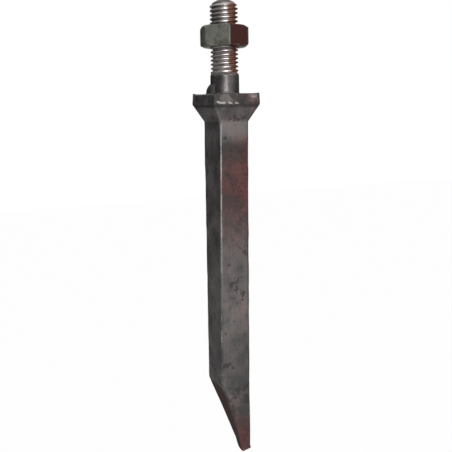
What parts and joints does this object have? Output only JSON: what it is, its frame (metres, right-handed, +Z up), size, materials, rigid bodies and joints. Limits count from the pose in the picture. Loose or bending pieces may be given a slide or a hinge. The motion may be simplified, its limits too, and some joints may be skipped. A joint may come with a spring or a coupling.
{
  "type": "harrow tine",
  "caption": "Forged square harrow tine with a cut point, a flared square collar, an anti-turn nib and a threaded stud carrying a hexagon nut.",
  "frame": {"origin": "centre of the collar's top face, on the stud's axis", "axes": "+Z up the stud, away from the point; -Y is the broad front face, and the point is cut away on its -X side"},
  "size_m": [0.0263, 0.0263, 0.2384],
  "materials": {
    "forged_steel": "dark forge scale with brown rust, worn at the edges",
    "nut_steel": "dull grey steel with brown rust"
  },
  "bodies": {
    "tine": {"tine": "forged_steel"},
    "nut": {"nut": "nut_steel"}
  },
  "joints": [
    {"name": "nut_travel", "type": "slide", "parent": "tine", "child": "nut", "axis": [0, 0, 1], "range_m": [-0.01, 0.018]}
  ]
}
